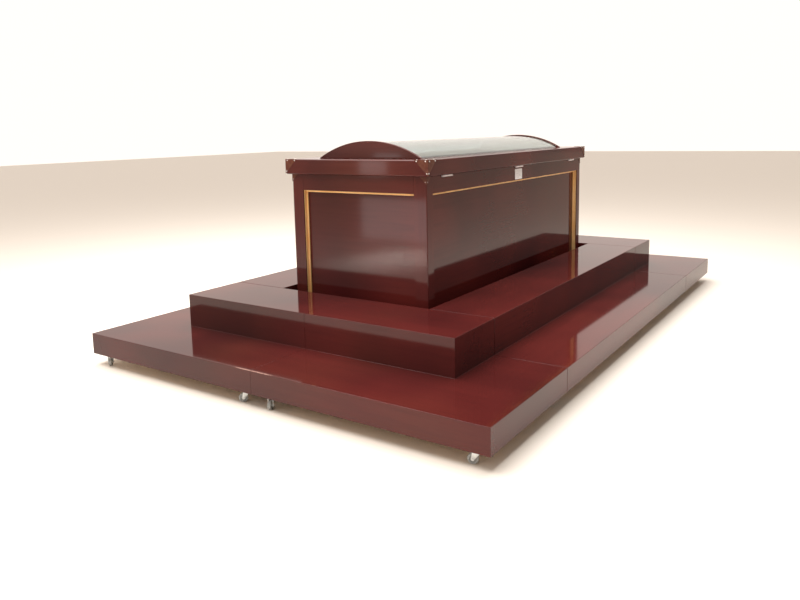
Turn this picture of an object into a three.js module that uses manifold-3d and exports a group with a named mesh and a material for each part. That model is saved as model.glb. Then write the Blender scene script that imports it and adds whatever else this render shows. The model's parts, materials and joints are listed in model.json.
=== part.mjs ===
// A wooden coffin on a stepped dais, in millimetres.
// +Z is up, the floor is z = 0, and the origin lies on the floor under the middle of the coffin.
// The coffin's head and foot lie along Y. Its lid is hinged along the right-hand side, +X.
import * as THREE from 'three';
import { mergeVertices } from 'three/addons/utils/BufferGeometryUtils.js';
import Module from 'manifold-3d';

const wasm = await Module();
wasm.setup();

// Dais: six hollow stepped units on castors, parked round the coffin
const recessSideClearance = 47.5;
const recessEndClearance = 65;
const upperTreadSide = 346;
const upperTreadEnd = 367;
const upperStepHeight = 175;
const lowerTreadSide = 349;
const lowerTreadEnd = 366;
const lowerStepHeight = 110;
const unitGap = 3;
const middleGap = 0.6;
const daisBoard = 18;

// Castors, screwed under each unit's base board
const wheelDiameter = 42;
const wheelWidth = 17;
const wheelHeadroom = 6;
const castorTrail = 13;
const castorPlateSize = 52;
const castorPlateThickness = 2.5;
const castorInsetAcross = 80;
const castorInsetAlong = 48;
const castorNeck = 9;
const castorCheek = 2.5;
const forkHalfLength = 14;
const axleDiameter = 6;
const wheelSides = 12;
const neckSides = 6;
const axleSides = 4;
const castorTurnStep = 2.4;
const endUnitTurn = 3.65;

// Coffin box: corner posts and rails, with panels set back between them
const boxHalfWidth = 432.5;
const boxHalfLength = 1050;
const boxTop = 1042;
const postAcross = 75;
const postAlong = 58;
const panelSetback = 28;
const panelThickness = 18;
const topRailHeight = 149;
const bottomRailHeight = 95;
const bottomRailClearance = 45;
const mouldingWidth = 11;
const mouldingReveal = 5;
const bedHeight = 560;
const bedThickness = 18;
const bearerSize = 30;

// Lid: a shallow tray that caps the box, with two arched boards and a clear sheet over a window
const lidClearance = 6;
const lidSkirtHeight = 80.5;
const lidBoard = 18;
const archHalfChord = 333;
const archRise = 92;
const archSetIn = 139;
const archBoard = 18;
const archSegments = 24;
const sheetThickness = 4;
const sheetDrop = 8;
const windowSideMargin = 33;
const windowEndMargin = 35;

// Corner plates, hinges and tag
const lidCornerLeg = 78;
const boxCornerLeg = 104;
const cornerPlateThickness = 1.2;
const hingeLength = 100;
const hingeEndInset = 190;
const hingeLeafHeight = 42;
const hingeLeafThickness = 2.2;
const hingeKnuckleDiameter = 10;
const hingePinDiameter = 5;
const hingeKnuckles = 5;
const hingeDrop = 6;
const hingePinClearance = 0.4;
const hingeRelief = 0.7;
const tagLength = 98;
const tagHeight = 62;
const tagThickness = 1;
const tagGap = 9;

// Gap left between pieces that touch, and how deep a part of one piece is let into the next
const fit = 0.3;
const sunk = 0.5;

// Planes that a flat outline is turned into: its x, y and thickness go along Y, Z, X or Z, X, Y
const yzPlane = new THREE.Matrix4().makeBasis(
  new THREE.Vector3(0, 1, 0), new THREE.Vector3(0, 0, 1), new THREE.Vector3(1, 0, 0),
);
const zxPlane = new THREE.Matrix4().makeBasis(
  new THREE.Vector3(0, 0, 1), new THREE.Vector3(1, 0, 0), new THREE.Vector3(0, 1, 0),
);

// Places worked out from the sizes above
const castorHeight = wheelDiameter + wheelHeadroom + castorCheek + castorNeck + castorPlateThickness;
const recessHalfWidth = boxHalfWidth + recessSideClearance;
const recessHalfLength = boxHalfLength + recessEndClearance;
const upperStepHalfWidth = recessHalfWidth + upperTreadSide;
const upperStepHalfLength = recessHalfLength + upperTreadEnd;
const lowerStepHalfWidth = upperStepHalfWidth + lowerTreadSide;
const lowerStepHalfLength = upperStepHalfLength + lowerTreadEnd;
const lowerStepTop = castorHeight + lowerStepHeight;
const upperStepTop = lowerStepTop + upperStepHeight;
const lidHalfWidth = boxHalfWidth + lidClearance + lidBoard;
const lidHalfLength = boxHalfLength + lidClearance + lidBoard;
const deckBottom = boxTop + fit;
const deckTop = deckBottom + lidBoard;
const skirtBottom = deckTop - lidSkirtHeight;
const archPlane = lidHalfLength - archSetIn;
const panelFaceX = boxHalfWidth - panelSetback;
const panelFaceY = boxHalfLength - panelSetback;
const panelBackX = panelFaceX - panelThickness;
const panelBackY = panelFaceY - panelThickness;
const postInnerX = boxHalfWidth - postAcross;
const postInnerY = boxHalfLength - postAlong;
const topRailBottom = boxTop - topRailHeight;
const bottomRailTop = bottomRailClearance + bottomRailHeight;
const hingeAxisX = boxHalfWidth + hingeKnuckleDiameter / 2 + fit;
const hingeAxisZ = skirtBottom - hingeDrop;
const hingeSpacing = boxHalfLength - hingeEndInset;

// Finishes
const redLacquer = new THREE.MeshStandardMaterial({ color: 0x5a2420, roughness: 0.22, metalness: 0 });
const goldPaint = new THREE.MeshStandardMaterial({ color: 0xc8924a, roughness: 0.4, metalness: 0.5 });
const paleBoard = new THREE.MeshStandardMaterial({ color: 0xd9d2c0, roughness: 0.6, metalness: 0 });
const bronzePlate = new THREE.MeshStandardMaterial({ color: 0x574430, roughness: 0.45, metalness: 0.8 });
const hingeSteel = new THREE.MeshStandardMaterial({ color: 0xc4c2c0, roughness: 0.3, metalness: 0.9 });
const castorFinish = new THREE.MeshStandardMaterial({ color: 0x9aa09c, roughness: 0.4, metalness: 0.6 });
const tagCard = new THREE.MeshStandardMaterial({ color: 0xf2f0ee, roughness: 0.6, metalness: 0 });
const clearSheet = new THREE.MeshStandardMaterial({
  color: 0xdfeae4, roughness: 0.05, metalness: 0, transparent: true, opacity: 0.35,
});

const coffin = new THREE.Group();

function addPiece(name, geometry, material, place = [0, 0, 0], turn = 0) {
  const mesh = new THREE.Mesh(geometry, material);
  mesh.name = name;
  mesh.position.set(...place);
  mesh.rotation.z = turn;
  coffin.add(mesh);
  return mesh;
}

// A box between two corners
function block(x0, x1, y0, y1, z0, z1) {
  const geometry = new THREE.BoxGeometry(x1 - x0, y1 - y0, z1 - z0);
  geometry.translate((x0 + x1) / 2, (y0 + y1) / 2, (z0 + z1) / 2);
  return geometry;
}

// A cylinder between two points on a line along X, Y or Z, with a flat facing down or outwards
function rod(diameter, sides, axis, from, to, centre) {
  const geometry = new THREE.CylinderGeometry(diameter / 2, diameter / 2, to - from, sides);
  geometry.rotateY(Math.PI / sides);
  geometry.translate(0, (from + to) / 2, 0);
  if (axis === 'x') geometry.rotateZ(-Math.PI / 2);
  if (axis === 'z') geometry.rotateX(Math.PI / 2);
  geometry.translate(...centre);
  return geometry;
}

// Boolean work: geometry in, solid out, and back again
function toSolid(geometry) {
  const bare = geometry.clone();
  bare.deleteAttribute('normal');
  bare.deleteAttribute('uv');
  const merged = mergeVertices(bare, 1e-4);
  return new wasm.Manifold(new wasm.Mesh({
    numProp: 3,
    vertProperties: new Float32Array(merged.attributes.position.array),
    triVerts: new Uint32Array(merged.index.array),
  }));
}

function toGeometry(solid) {
  const mesh = solid.getMesh();
  const shared = new THREE.BufferGeometry();
  shared.setAttribute('position', new THREE.BufferAttribute(mesh.vertProperties, 3));
  shared.setIndex(Array.from(mesh.triVerts));
  const geometry = shared.toNonIndexed();
  geometry.computeVertexNormals();
  return geometry;
}

function join(geometries) {
  return geometries.map(toSolid).reduce((whole, piece) => whole.add(piece));
}

function cut(solid, geometry) {
  return solid.subtract(toSolid(geometry));
}

// Dais units
function rectangle(xa, xb, ya, yb) {
  return { x0: Math.min(xa, xb), x1: Math.max(xa, xb), y0: Math.min(ya, yb), y1: Math.max(ya, yb) };
}

function slab(r, inset, z0, z1) {
  return block(r.x0 + inset, r.x1 - inset, r.y0 + inset, r.y1 - inset, z0, z1);
}

// A stepped carcass of boards, open below, with the two steps' hollows in one
function daisCarcass(lower, upper) {
  const outside = join([
    slab(lower, 0, castorHeight, lowerStepTop),
    slab(upper, 0, lowerStepTop - daisBoard, upperStepTop),
  ]);
  const hollow = join([
    slab(lower, daisBoard, castorHeight - daisBoard, lowerStepTop - daisBoard),
    slab(upper, daisBoard, castorHeight, upperStepTop - daisBoard),
  ]);
  return toGeometry(outside.subtract(hollow));
}

// One swivel castor, its swivel axis at x, y. Its plate is square to the board, and its fork is
// turned, with the wheel trailing behind the swivel axis
function castor(x, y, turn) {
  const axleZ = (wheelDiameter / 2) * Math.cos(Math.PI / wheelSides);
  const plateBottom = castorHeight - castorPlateThickness;
  const forkTop = castorHeight - castorPlateThickness - castorNeck;
  const cheekInside = wheelWidth / 2 + castorCheek;
  const cheekOutside = cheekInside + castorCheek;
  const side = new THREE.Shape([
    new THREE.Vector2(-forkHalfLength, forkTop - sunk),
    new THREE.Vector2(castorTrail - axleDiameter, axleZ - axleDiameter),
    new THREE.Vector2(castorTrail + axleDiameter, axleZ - axleDiameter),
    new THREE.Vector2(forkHalfLength, forkTop - sunk),
  ]);
  const plate = block(-castorPlateSize / 2, castorPlateSize / 2, -castorPlateSize / 2, castorPlateSize / 2,
    plateBottom, castorHeight + sunk);
  const fork = [
    rod(forkHalfLength * 2, neckSides, 'z', forkTop - sunk, plateBottom + sunk, [0, 0, 0]),
    block(-cheekOutside, cheekOutside, -forkHalfLength, forkHalfLength, forkTop - castorCheek, forkTop),
    rod(wheelDiameter, wheelSides, 'x', -wheelWidth / 2, wheelWidth / 2, [0, castorTrail, axleZ]),
    rod(axleDiameter, axleSides, 'x', -cheekOutside, cheekOutside, [0, castorTrail, axleZ]),
  ];
  for (const from of [-cheekOutside, cheekInside]) {
    const cheek = new THREE.ExtrudeGeometry(side, { depth: castorCheek, bevelEnabled: false });
    cheek.applyMatrix4(yzPlane);
    cheek.translate(from, 0, 0);
    fork.push(cheek);
  }
  for (const piece of fork) piece.rotateZ(turn);
  const pieces = [plate, ...fork];
  for (const piece of pieces) piece.translate(x, y, 0);
  return pieces;
}

// The base board that closes a unit below, with a castor near each of its corners
function castorBoard(lower, firstTurn) {
  const pieces = [slab(lower, daisBoard + fit, castorHeight, castorHeight + daisBoard)];
  let turn = firstTurn;
  for (const x of [lower.x0 + castorInsetAcross, lower.x1 - castorInsetAcross]) {
    for (const y of [lower.y0 + castorInsetAlong, lower.y1 - castorInsetAlong]) {
      pieces.push(...castor(x, y, turn));
      turn += castorTurnStep;
    }
  }
  return toGeometry(join(pieces));
}

function addDaisUnit(name, lower, upper, firstTurn) {
  addPiece(`dais_${name}`, daisCarcass(lower, upper), redLacquer);
  addPiece(`dais_${name}_castor_board`, castorBoard(lower, firstTurn), castorFinish);
}

for (const [side, sx] of [['left', -1], ['right', 1]]) {
  for (const [end, sy] of [['front', -1], ['back', 1]]) {
    const x0 = (sx * middleGap) / 2;
    const y0 = sy * (recessHalfLength + unitGap / 2);
    addDaisUnit(
      `${end}_${side}`,
      rectangle(x0, sx * lowerStepHalfWidth, y0, sy * lowerStepHalfLength),
      rectangle(x0, sx * upperStepHalfWidth, y0, sy * upperStepHalfLength),
      endUnitTurn - 0.25 * sx,
    );
  }
  const x0 = sx * recessHalfWidth;
  const y1 = recessHalfLength - unitGap / 2;
  addDaisUnit(
    `side_${side}`,
    rectangle(x0, sx * lowerStepHalfWidth, -y1, y1),
    rectangle(x0, sx * upperStepHalfWidth, -y1, y1),
    0,
  );
}

// Corner posts of the box, which stand on the floor
for (const [side, sx] of [['left', -1], ['right', 1]]) {
  for (const [end, sy] of [['front', -1], ['back', 1]]) {
    const r = rectangle(sx * postInnerX, sx * boxHalfWidth, sy * postInnerY, sy * boxHalfLength);
    addPiece(`post_${end}_${side}`, slab(r, 0, 0, boxTop), redLacquer);
  }
}

// A gold moulding that lines the frame round a panel, as an upside-down U with mitred corners.
// Each point of its section is swept up one side, across the top and down the other.
function mouldingGeometry(halfSpan, faceY, bottom, top) {
  const depth = panelSetback - fit - mouldingReveal;
  const section = [
    [0, 0], [mouldingWidth, 0], [mouldingWidth, 0.18 * depth], [0.8 * mouldingWidth, 0.31 * depth],
    [0.4 * mouldingWidth, 0.38 * depth], [0.24 * mouldingWidth, depth], [0, depth],
  ];
  const stations = [
    (a) => [-halfSpan + a, bottom],
    (a) => [-halfSpan + a, top - a],
    (a) => [halfSpan - a, top - a],
    (a) => [halfSpan - a, bottom],
  ];
  const points = [];
  for (const station of stations) {
    for (const [a, b] of section) {
      const [x, z] = station(a);
      points.push(x, faceY - b, z);
    }
  }
  const n = section.length;
  const triangles = [];
  for (let s = 0; s + 1 < stations.length; s += 1) {
    for (let i = 0; i < n; i += 1) {
      const j = (i + 1) % n;
      const [p, q, r, t] = [s * n + i, s * n + j, (s + 1) * n + j, (s + 1) * n + i];
      triangles.push(p, r, q, p, t, r);
    }
  }
  const last = (stations.length - 1) * n;
  const outline = section.map(([a, b]) => new THREE.Vector2(a, b));
  for (const [i, j, k] of THREE.ShapeUtils.triangulateShape(outline, [])) {
    triangles.push(i, j, k, last + k, last + j, last + i);
  }
  const shared = new THREE.BufferGeometry();
  shared.setAttribute('position', new THREE.Float32BufferAttribute(points, 3));
  shared.setIndex(triangles);
  const geometry = shared.toNonIndexed();
  geometry.computeVertexNormals();
  return geometry;
}

// One wall of the box, drawn as the front wall and turned into its place
function addWall(side, turn, halfDepth, innerHalfSpan) {
  const halfSpan = innerHalfSpan - fit;
  const face = -halfDepth;
  const panelFace = face + panelSetback;
  const back = panelFace + panelThickness;
  const pieces = {
    top_rail: block(-halfSpan, halfSpan, face, back, topRailBottom, boxTop),
    bottom_rail: block(-halfSpan, halfSpan, face, back, bottomRailClearance, bottomRailTop),
    panel: block(-halfSpan, halfSpan, panelFace, back, bottomRailTop + fit, topRailBottom - fit),
  };
  for (const [name, geometry] of Object.entries(pieces)) {
    addPiece(`${name}_${side}`, geometry, redLacquer, [0, 0, 0], turn);
  }
  const moulding = mouldingGeometry(halfSpan, panelFace - fit, bottomRailTop + fit, topRailBottom - fit);
  addPiece(`gold_moulding_${side}`, moulding, goldPaint, [0, 0, 0], turn);
}

addWall('front', 0, boxHalfLength, postInnerX);
addWall('right', Math.PI / 2, boxHalfWidth, postInnerY);
addWall('back', Math.PI, boxHalfLength, postInnerX);
addWall('left', -Math.PI / 2, boxHalfWidth, postInnerY);

// The bed board is notched round the four posts, and rests on a bearer along each long wall
const bedX = panelBackX - fit;
const bedY = panelBackY - fit;
const notchX = postInnerX - fit;
const notchY = postInnerY - fit;
const bedOutline = new THREE.Shape();
bedOutline.moveTo(-notchX, -bedY);
bedOutline.lineTo(notchX, -bedY);
bedOutline.lineTo(notchX, -notchY);
bedOutline.lineTo(bedX, -notchY);
bedOutline.lineTo(bedX, notchY);
bedOutline.lineTo(notchX, notchY);
bedOutline.lineTo(notchX, bedY);
bedOutline.lineTo(-notchX, bedY);
bedOutline.lineTo(-notchX, notchY);
bedOutline.lineTo(-bedX, notchY);
bedOutline.lineTo(-bedX, -notchY);
bedOutline.lineTo(-notchX, -notchY);
bedOutline.closePath();
const bed = new THREE.ExtrudeGeometry(bedOutline, { depth: bedThickness, bevelEnabled: false });
addPiece('bed_board', bed, paleBoard, [0, 0, bedHeight]);
for (const [side, sx] of [['left', -1], ['right', 1]]) {
  const r = rectangle(sx * (bedX - bearerSize), sx * bedX, -notchY, notchY);
  addPiece(`bed_bearer_${side}`, slab(r, 0, bedHeight - fit - bearerSize, bedHeight - fit), paleBoard);
}

// Lid tray: two end boards across the full width, two side boards between them, and the deck
for (const [end, sy] of [['front', -1], ['back', 1]]) {
  const r = rectangle(-lidHalfWidth, lidHalfWidth, sy * (lidHalfLength - lidBoard), sy * lidHalfLength);
  addPiece(`lid_skirt_${end}`, slab(r, 0, skirtBottom, deckTop), redLacquer);
}
const deckHalfLength = lidHalfLength - lidBoard - fit;
const deckHalfWidth = lidHalfWidth - lidBoard - fit;
for (const [side, sx] of [['left', -1], ['right', 1]]) {
  const r = rectangle(sx * (lidHalfWidth - lidBoard), sx * lidHalfWidth, -deckHalfLength, deckHalfLength);
  addPiece(`lid_skirt_${side}`, slab(r, 0, skirtBottom, deckTop), redLacquer);
}

function rectanglePath(path, halfWidth, halfLength) {
  path.moveTo(-halfWidth, -halfLength);
  path.lineTo(halfWidth, -halfLength);
  path.lineTo(halfWidth, halfLength);
  path.lineTo(-halfWidth, halfLength);
  path.closePath();
  return path;
}

const deckOutline = rectanglePath(new THREE.Shape(), deckHalfWidth, deckHalfLength);
const windowHalfWidth = archHalfChord - windowSideMargin;
const windowHalfLength = archPlane - archBoard - windowEndMargin;
deckOutline.holes.push(rectanglePath(new THREE.Path(), windowHalfWidth, windowHalfLength));
const deck = new THREE.ExtrudeGeometry(deckOutline, { depth: lidBoard, bevelEnabled: false });
addPiece('lid_deck', deck, redLacquer, [0, 0, deckBottom]);

// An arched board near each end of the deck, and a clear sheet bent between the two, a little lower.
// An arc of radius R rises archRise above a chord: R is (chord squared + rise squared) / (2 rise).
const archRadius = (archHalfChord ** 2 + archRise ** 2) / (2 * archRise);
const archCentre = archRise - archRadius;

function arc(path, radius, clockwise) {
  const start = Math.asin(-archCentre / radius);
  if (clockwise) path.absarc(0, archCentre, radius, Math.PI - start, start, true);
  else path.absarc(0, archCentre, radius, start, Math.PI - start, false);
}

function alongY(shape, from, to, segments) {
  const geometry = new THREE.ExtrudeGeometry(shape, {
    depth: to - from, bevelEnabled: false, curveSegments: segments,
  });
  geometry.rotateX(Math.PI / 2);
  geometry.translate(0, to, deckTop + fit);
  return geometry;
}

const archOutline = new THREE.Shape();
arc(archOutline, archRadius, false);
archOutline.closePath();
addPiece('arch_front', alongY(archOutline, -archPlane, -archPlane + archBoard, archSegments), redLacquer);
addPiece('arch_back', alongY(archOutline, archPlane - archBoard, archPlane, archSegments), redLacquer);

const sheetOutline = new THREE.Shape();
arc(sheetOutline, archRadius - sheetDrop, false);
arc(sheetOutline, archRadius - sheetDrop - sheetThickness, true);
sheetOutline.closePath();
const sheetHalfLength = archPlane - archBoard - fit;
addPiece('lid_sheet', alongY(sheetOutline, -sheetHalfLength, sheetHalfLength, archSegments), clearSheet);

// Corner plates: a thin right-angled triangle on each face that meets at the corner.
// Drawn for the corner at +X +Y, with the wood on the minus side of all three planes.
function cornerPlate(leg, withTop) {
  const outer = fit + cornerPlateThickness;
  const triangle = new THREE.Shape([
    new THREE.Vector2(outer, outer),
    new THREE.Vector2(-leg, outer),
    new THREE.Vector2(outer, -leg),
  ]);
  const sides = [yzPlane, zxPlane];
  if (withTop) sides.push(new THREE.Matrix4());
  const plates = sides.map((plane) => {
    const plate = new THREE.ExtrudeGeometry(triangle, { depth: cornerPlateThickness, bevelEnabled: false });
    plate.translate(0, 0, fit);
    plate.applyMatrix4(plane);
    return plate;
  });
  let solid = join(plates);
  if (!withTop) solid = cut(solid, block(-leg, 2 * outer, -leg, 2 * outer, 0, 2 * outer));
  return toGeometry(solid);
}

const corners = [
  ['back_right', 1, 1, 0],
  ['back_left', -1, 1, Math.PI / 2],
  ['front_left', -1, -1, Math.PI],
  ['front_right', 1, -1, -Math.PI / 2],
];
for (const [name, sx, sy, turn] of corners) {
  addPiece(`lid_corner_${name}`, cornerPlate(lidCornerLeg, true), bronzePlate,
    [sx * lidHalfWidth, sy * lidHalfLength, deckTop], turn);
  addPiece(`box_corner_${name}`, cornerPlate(boxCornerLeg, false), bronzePlate,
    [sx * boxHalfWidth, sy * boxHalfLength, boxTop], turn);
}

// Butt hinges between the right wall and the lid's right skirt. The leaves stand in the gap
// between the two, and the knuckles show below the skirt.
function hingeLeaf(middleY, x0, firstKnuckle, pinClearance) {
  const pitch = hingeLength / hingeKnuckles;
  const radius = hingeKnuckleDiameter / 2;
  const start = middleY - hingeLength / 2;
  const end = middleY + hingeLength / 2;
  const centre = [hingeAxisX, 0, hingeAxisZ];
  const x1 = x0 + hingeLeafThickness;
  const plateBottom = hingeAxisZ + radius + hingeRelief;
  const pieces = [block(x0, x1, start, end, plateBottom, hingeAxisZ + hingeLeafHeight)];
  for (let k = firstKnuckle; k < hingeKnuckles; k += 2) {
    const y0 = start + k * pitch + fit;
    const y1 = start + (k + 1) * pitch - fit;
    pieces.push(rod(hingeKnuckleDiameter, 12, 'y', y0, y1, centre));
    pieces.push(block(x0, x1, y0, y1, hingeAxisZ, plateBottom + sunk));
  }
  if (pinClearance === 0) {
    pieces.push(rod(hingePinDiameter, 8, 'y', start, end, centre));
    return toGeometry(join(pieces));
  }
  const bore = rod(hingePinDiameter + 2 * pinClearance, 8, 'y', start, end, centre);
  return toGeometry(cut(join(pieces), bore));
}

const boxLeafX = boxHalfWidth + fit;
const lidLeafX = lidHalfWidth - lidBoard - fit - hingeLeafThickness;
for (const [name, place] of [['front', -1], ['middle', 0], ['back', 1]]) {
  const y = place * hingeSpacing;
  addPiece(`hinge_${name}_box_leaf`, hingeLeaf(y, boxLeafX, 0, 0), hingeSteel);
  addPiece(`hinge_${name}_lid_leaf`, hingeLeaf(y, lidLeafX, 1, hingePinClearance), hingeSteel);
}

// A blank tag on the right wall's top rail, just under the middle hinge
const tagTop = hingeAxisZ - hingeKnuckleDiameter / 2 - tagGap;
const tag = block(boxHalfWidth + fit, boxHalfWidth + fit + tagThickness, -tagLength / 2, tagLength / 2,
  tagTop - tagHeight, tagTop);
addPiece('tag', tag, tagCard);

export default coffin;
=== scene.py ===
# %% [markdown]
# A lacquered wooden coffin on a stepped dais. The dais is six hollow units on castors, parked round
# the box so that it stands in a recess. The box has corner posts and rails with panels set back
# between them, lined with a gold moulding. Its lid is a shallow tray with a window under a clear
# bent sheet, hinged along the right-hand side.
# The construction is already there as a frame of plain solids. This lesson gives each piece its
# finish, and makes again the pieces whose plain solid is too coarse to look at closely.

# %% Load the frame
import json
import math

import bmesh
import bpy
import numpy as np
from mathutils import Matrix, Vector


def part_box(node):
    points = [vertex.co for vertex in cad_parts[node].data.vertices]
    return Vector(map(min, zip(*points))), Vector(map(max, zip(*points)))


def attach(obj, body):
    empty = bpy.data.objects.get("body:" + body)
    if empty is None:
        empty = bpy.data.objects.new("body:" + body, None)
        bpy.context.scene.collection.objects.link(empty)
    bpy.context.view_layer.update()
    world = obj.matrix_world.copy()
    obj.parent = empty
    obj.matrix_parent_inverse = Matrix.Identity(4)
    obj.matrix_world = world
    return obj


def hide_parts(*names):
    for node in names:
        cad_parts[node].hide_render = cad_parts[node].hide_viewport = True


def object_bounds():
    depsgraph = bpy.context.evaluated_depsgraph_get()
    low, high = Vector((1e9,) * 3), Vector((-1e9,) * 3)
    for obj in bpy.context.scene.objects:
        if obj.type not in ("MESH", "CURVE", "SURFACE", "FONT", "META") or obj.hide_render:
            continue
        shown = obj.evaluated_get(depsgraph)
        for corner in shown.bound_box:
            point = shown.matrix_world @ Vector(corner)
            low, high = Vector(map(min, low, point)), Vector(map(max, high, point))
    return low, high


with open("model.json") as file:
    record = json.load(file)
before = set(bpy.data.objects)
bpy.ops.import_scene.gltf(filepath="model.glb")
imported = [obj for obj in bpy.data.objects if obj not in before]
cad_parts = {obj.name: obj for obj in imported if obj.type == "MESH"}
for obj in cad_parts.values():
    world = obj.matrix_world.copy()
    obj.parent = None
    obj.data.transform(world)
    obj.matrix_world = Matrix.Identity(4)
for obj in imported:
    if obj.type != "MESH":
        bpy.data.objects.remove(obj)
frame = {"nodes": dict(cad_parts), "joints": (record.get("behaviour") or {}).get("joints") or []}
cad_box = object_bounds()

MM = 0.001
print("frame:", len(frame["nodes"]), "nodes, from", list(cad_box[0]), "to", list(cad_box[1]))

# %% [markdown]
# The camera stands where the photographer stood: a little above the lid, off the near right
# corner. A camera's picture has one point where its axis meets it. In the photo that point is above
# the middle, so the camera is shifted by that much, which keeps the upright edges nearly parallel.

# %% Camera
PHOTO_WIDTH, PHOTO_HEIGHT = 800, 600
FOCAL_PIXELS = 714.9
AXIS_PIXEL = (399.2, 230.0)
CAMERA_PLACE = Vector((2.254, -3.9782, 1.2052))
CAMERA_YAW, CAMERA_PITCH, CAMERA_ROLL = (math.radians(a) for a in (-34.155, -7.955, -1.22))
SENSOR_WIDTH = 36.0


def add_camera():
    """A camera whose axis has a yaw from +Y and a pitch from the level, rolled about that axis."""
    ahead = Vector((
        math.sin(CAMERA_YAW) * math.cos(CAMERA_PITCH),
        math.cos(CAMERA_YAW) * math.cos(CAMERA_PITCH),
        math.sin(CAMERA_PITCH),
    ))
    level = Vector((math.cos(CAMERA_YAW), -math.sin(CAMERA_YAW), 0.0))
    upright = level.cross(ahead)
    right = level * math.cos(CAMERA_ROLL) + upright * math.sin(CAMERA_ROLL)
    up = upright * math.cos(CAMERA_ROLL) - level * math.sin(CAMERA_ROLL)
    data = bpy.data.cameras.new("camera")
    data.sensor_width = SENSOR_WIDTH
    data.lens = FOCAL_PIXELS * SENSOR_WIDTH / PHOTO_WIDTH
    data.shift_x = (PHOTO_WIDTH / 2 - AXIS_PIXEL[0]) / PHOTO_WIDTH
    data.shift_y = (AXIS_PIXEL[1] - PHOTO_HEIGHT / 2) / PHOTO_WIDTH
    data.clip_end = 200.0
    camera = bpy.data.objects.new("camera", data)
    turn = Matrix((right, up, -ahead)).transposed().to_4x4()
    camera.matrix_world = Matrix.Translation(CAMERA_PLACE) @ turn
    bpy.context.scene.collection.objects.link(camera)
    bpy.context.scene.camera = camera
    return camera


camera = add_camera()
print("camera: lens", round(camera.data.lens, 2), "mm, at", [round(v, 3) for v in camera.location])

# %% [markdown]
# A finish is a sum: a colour, plus a little of another where a pattern is strong. With nodes alone,
# that is a long list of links. This small class wraps a socket, so that the sum can be written as
# one. An operator on a wrapped socket adds its Math node.

# %% Shader sums


class Wire:
    """A socket of a finish's node tree that takes part in Python sums."""

    def __init__(self, finish, socket):
        self.finish = finish
        self.socket = socket

    def math(self, operation, first, second, clamp=False):
        settings = {"operation": operation, "use_clamp": clamp}
        return self.finish.node("ShaderNodeMath", settings, {0: first, 1: second})

    def __add__(self, other):
        return self.math("ADD", self, other)

    def __radd__(self, other):
        return self.math("ADD", other, self)

    def __sub__(self, other):
        return self.math("SUBTRACT", self, other)

    def __rsub__(self, other):
        return self.math("SUBTRACT", other, self)

    def __mul__(self, other):
        return self.math("MULTIPLY", self, other)

    def __rmul__(self, other):
        return self.math("MULTIPLY", other, self)

    def __abs__(self):
        return self.math("ABSOLUTE", self, 0.0)

    def __lt__(self, other):
        return self.math("LESS_THAN", self, other)

    def __gt__(self, other):
        return self.math("GREATER_THAN", self, other)

    def __mod__(self, other):
        return self.math("FLOORED_MODULO", self, other)

    def fade(self, low, high):
        """0 up to low, 1 from high on, and evenly between the two."""
        return self.math("DIVIDE", self - low, high - low, clamp=True)


print("shader sums: a wrapped socket takes + - * % < > and abs")

# %% [markdown]
# The other half of the shorthand is the finish itself. It holds the nodes of one material, and has
# one method that adds a node of any kind. The few kinds used here, noise, a mix of colours, a
# coordinate and a bump, each get a short name.

# %% Finishes


class Finish:
    """The nodes of a material or a world: one shader, and a method that adds any node to it."""

    def __init__(self, owner, shader):
        owner.use_nodes = True
        self.owner = owner
        self.tree = owner.node_tree
        self.shader = self.tree.nodes[shader]

    def fill(self, socket, value):
        """Links or sets a socket. A colour is three numbers."""
        if isinstance(value, Wire):
            self.tree.links.new(value.socket, socket)
        elif isinstance(value, tuple) and socket.type == "RGBA":
            socket.default_value = (*value, 1)
        else:
            socket.default_value = value

    def node(self, kind, settings, values, outlet=0):
        """A node of a kind: first its settings, then a value or link for each socket named."""
        node = self.tree.nodes.new(kind)
        for key, value in settings.items():
            setattr(node, key, value)
        for socket, value in values.items():
            self.fill(node.inputs[socket], value)
        return Wire(self, node.outputs[outlet])

    def place(self, stretch=(1, 1, 1), shift=(0, 0, 0)):
        """The point of the surface in metres, stretched and shifted."""
        point = self.node("ShaderNodeTexCoord", {}, {}, "Object")
        return self.node("ShaderNodeMapping", {}, {"Vector": point, "Scale": stretch, "Location": shift})

    def axis(self, name):
        """One coordinate of the surface, in metres."""
        point = self.node("ShaderNodeTexCoord", {}, {}, "Object")
        return self.node("ShaderNodeSeparateXYZ", {}, {0: point}, name.upper())

    def noise(self, scale, stretch=(1, 1, 1), detail=3.0, roughness=0.55, shift=(0, 0, 0)):
        values = {"Vector": self.place(stretch, shift), "Scale": scale, "Detail": detail,
                  "Roughness": roughness}
        return self.node("ShaderNodeTexNoise", {}, values)

    def mix(self, amount, first, second):
        """A colour between two."""
        return self.node("ShaderNodeMix", {"data_type": "RGBA"}, {0: amount, 6: first, 7: second}, 2)

    def set(self, **values):
        for socket, value in values.items():
            self.fill(self.shader.inputs[socket.replace("_", " ")], value)

    def bump(self, height, distance):
        values = {"Height": height, "Distance": distance, "Strength": 1.0}
        self.set(Normal=self.node("ShaderNodeBump", {}, values))


def new_finish(name, **values):
    """A material whose Principled shader has these values."""
    finish = Finish(bpy.data.materials.new(name), "Principled BSDF")
    finish.set(**values)
    return finish


print("finishes: each has", ", ".join(name for name in vars(Finish) if not name.startswith("_")))

# %% [markdown]
# Lacquer is mostly what it mirrors. A pale surround gives the tops their sheen where the eye grazes
# them. It is darker towards the right, which the right-hand faces mirror, so those stay deep.

# %% Floor and surround
FLOOR_SIZE = 60.0
FLOOR_COLOUR = (0.90, 0.82, 0.73)
SURROUND_COLOUR = (1.0, 0.91, 0.83)
SURROUND_STRENGTH = 1.18
SHADED_SIDE = (-0.08, 0.16)
SHADE = 0.7


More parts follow.
